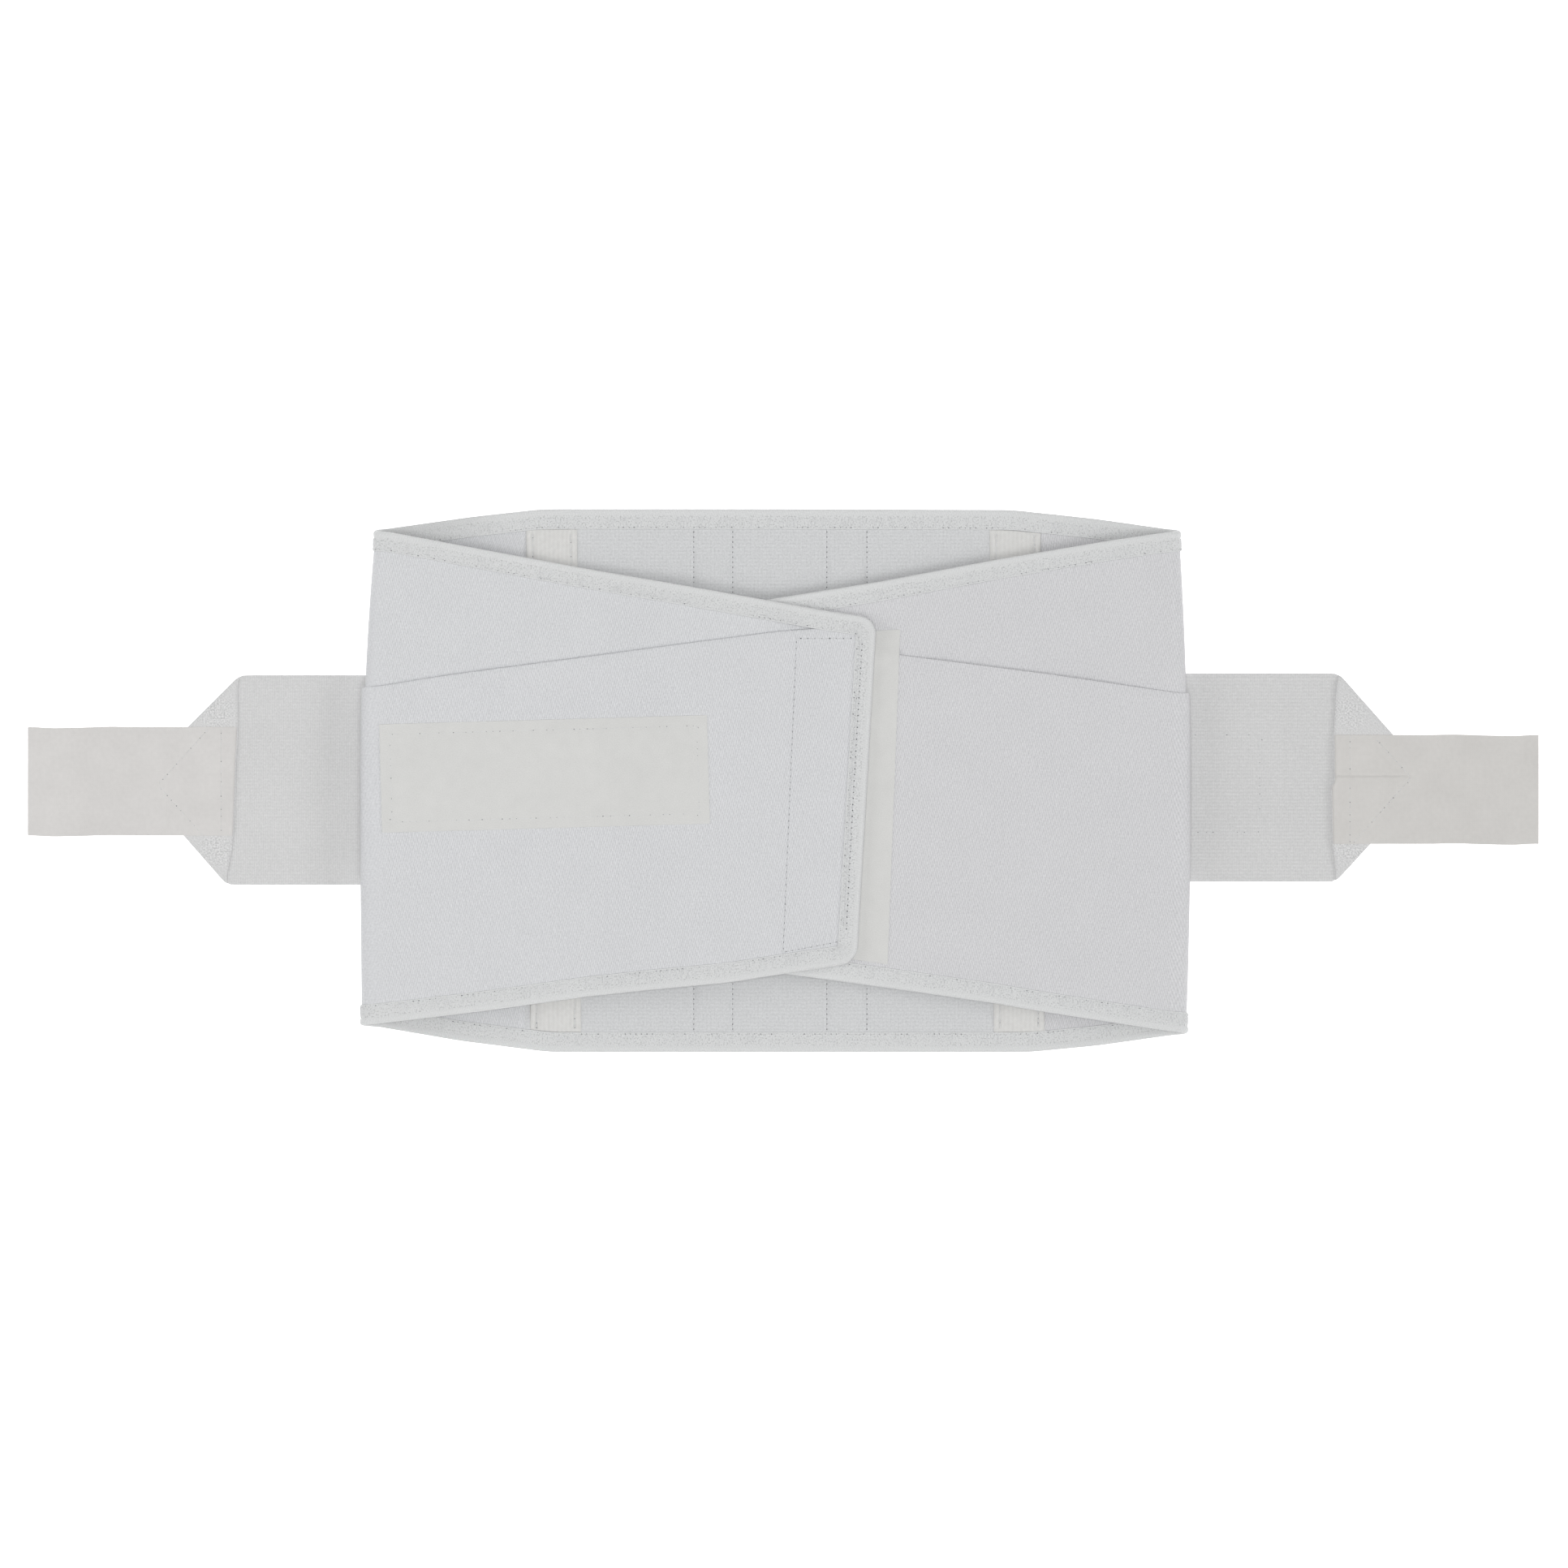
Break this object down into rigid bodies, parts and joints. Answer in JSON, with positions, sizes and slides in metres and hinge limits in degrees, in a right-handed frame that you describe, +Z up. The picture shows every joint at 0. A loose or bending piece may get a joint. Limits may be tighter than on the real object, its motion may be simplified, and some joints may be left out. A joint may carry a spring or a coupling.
{
  "type": "back support belt",
  "caption": "Elastic lumbar support belt lying flat and fastened, with crossed side bands, bound edges, stay channels and tension straps with hook tape ends.",
  "frame": {"origin": "middle of the belt's footprint, on the surface that it lies on", "axes": "+X across the belt along the tension straps, +Y towards its upper edge, +Z up from the surface towards the front closure"},
  "size_m": [0.725, 0.2608, 0.0271],
  "materials": {
    "back_mesh": "fine woven mesh",
    "casing_twill": "cream twill tape",
    "band_elastic": "white elastic twill",
    "binding_tape": "white stretch binding with cover stitching",
    "loop_tape": "soft brushed loop",
    "hook_tape": "hook tape, matt",
    "strap_elastic": "ribbed white elastic"
  },
  "bodies": {
    "root": {"back_panel": "back_mesh", "stay_casing_left": "casing_twill", "stay_casing_right": "casing_twill", "upper_band_left": "band_elastic", "upper_band_right": "band_elastic", "lower_band_left": "band_elastic", "lower_band_right": "band_elastic", "edge_binding": "binding_tape", "front_loop_patch": "loop_tape", "closure_loop": "loop_tape", "closure_hook": "hook_tape", "strap_left": "strap_elastic", "strap_right": "strap_elastic", "strap_hook_left": "hook_tape", "strap_hook_right": "hook_tape", "strap_loop_patch": "loop_tape"}
  },
  "joints": []
}
